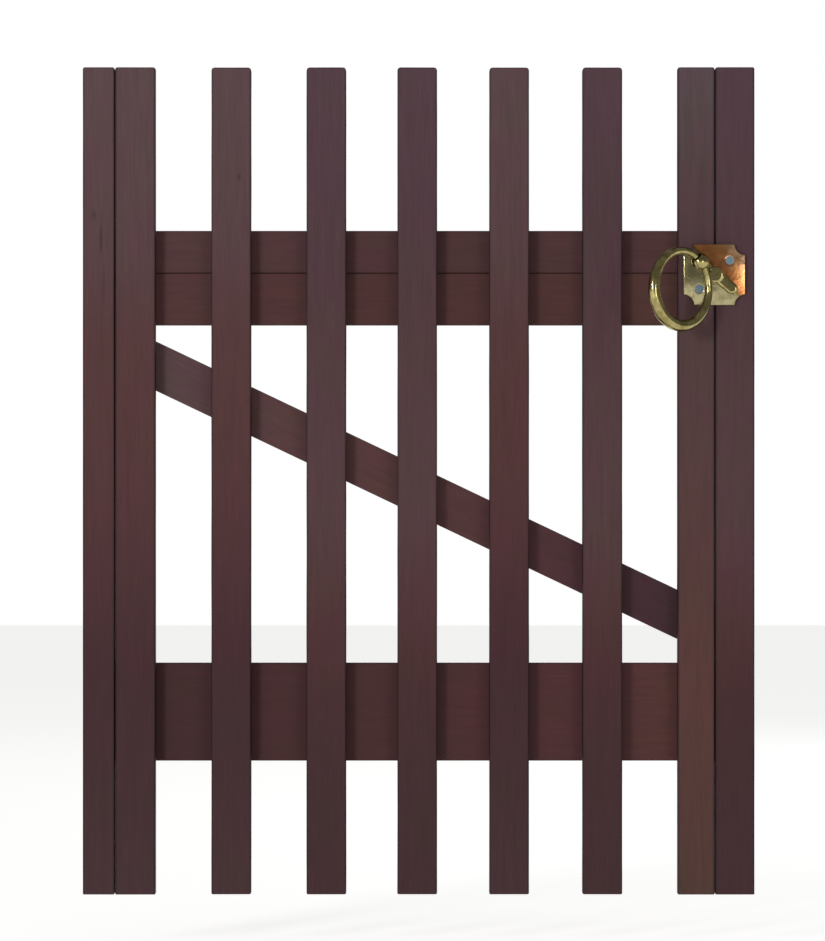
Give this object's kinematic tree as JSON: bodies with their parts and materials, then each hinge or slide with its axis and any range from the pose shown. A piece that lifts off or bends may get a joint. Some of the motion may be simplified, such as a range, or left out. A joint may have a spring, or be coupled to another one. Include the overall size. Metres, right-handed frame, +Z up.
{
  "type": "garden gate",
  "caption": "Picket garden gate leaf of stained boards on ledges and a brace, with hook-and-band hinges and a brass ring latch",
  "frame": {"origin": "centre of the lower hook plate's back, on the face of the hinge post", "axes": "+X from the hinge edge to the latch edge, +Y to the rear, into the post, +Z up; -Y is the front with the ring"},
  "size_m": [0.742, 0.1498, 0.914],
  "materials": {
    "stained_boards": "mahogany-brown satin woodstain",
    "stained_rails": "mahogany-brown satin woodstain",
    "brass": "cast and polished, lightly toned",
    "zinc_screws": "zinc plated, blue passivated",
    "bright_steel": "turned, oiled",
    "galvanised_steel": "hot-dip galvanised",
    "black_steel": "black powder coat, satin"
  },
  "bodies": {
    "hooks": {"lower_hook_plate": "black_steel", "lower_hook_pin": "galvanised_steel", "upper_hook_plate": "black_steel", "upper_hook_pin": "galvanised_steel"},
    "leaf": {"back_plate_screws": "zinc_screws", "bar_guide": "black_steel", "bar_guide_screws": "zinc_screws", "bar_pivot_bolt": "bright_steel", "bar_pivot_plate": "black_steel", "brace": "stained_rails", "brace_screws": "zinc_screws", "hinge_stile_inner_board": "stained_boards", "hinge_stile_outer_board": "stained_boards", "latch_back_plate": "black_steel", "latch_stile_inner_board": "stained_boards", "latch_stile_outer_board": "stained_boards", "lower_band_screws": "galvanised_steel", "lower_hinge_band": "black_steel", "lower_rail": "stained_rails", "lower_rail_screws": "zinc_screws", "picket_1": "stained_boards", "picket_2": "stained_boards", "picket_3": "stained_boards", "picket_4": "stained_boards", "picket_5": "stained_boards", "pivot_plate_screws": "zinc_screws", "rose_plate": "brass", "rose_screws": "zinc_screws", "upper_band_screws": "galvanised_steel", "upper_hinge_band": "black_steel", "upper_rail_bottom_board": "stained_rails", "upper_rail_screws": "zinc_screws", "upper_rail_top_board": "stained_rails"},
    "spindle": {"ring_boss": "brass", "boss_cross_pin": "bright_steel", "spindle": "bright_steel", "lifter": "black_steel", "spindle_washer": "bright_steel", "spindle_nut": "bright_steel"},
    "ring": {"ring_handle": "brass"},
    "fall_bar": {"fall_bar": "black_steel", "bar_knob": "brass"}
  },
  "joints": [
    {"name": "gate_swing", "type": "hinge", "parent": "hooks", "child": "leaf", "pos_m": [-0.0085, -0.02, 0], "axis": [0, 0, -1], "range_deg": [0, 90]},
    {"name": "spindle_turn", "type": "hinge", "parent": "leaf", "child": "spindle", "pos_m": [0.6758, -0.05008, 0.4835], "axis": [0, 1, 0], "range_deg": [0, 35]},
    {"name": "ring_swing", "type": "hinge", "parent": "spindle", "child": "ring", "pos_m": [0.659, -0.09808, 0.4971], "axis": [0.5515, 0.4693, -0.6896], "range_deg": [-90, 6]},
    {"name": "bar_lift", "type": "hinge", "parent": "leaf", "child": "fall_bar", "pos_m": [0.55242, -0.02358, 0.50155], "axis": [0, -1, 0], "range_deg": [0, 6.05]}
  ],
  "couplings": [
    {"joint": "bar_lift", "follows": "spindle_turn", "ratio": 0.17286}
  ]
}
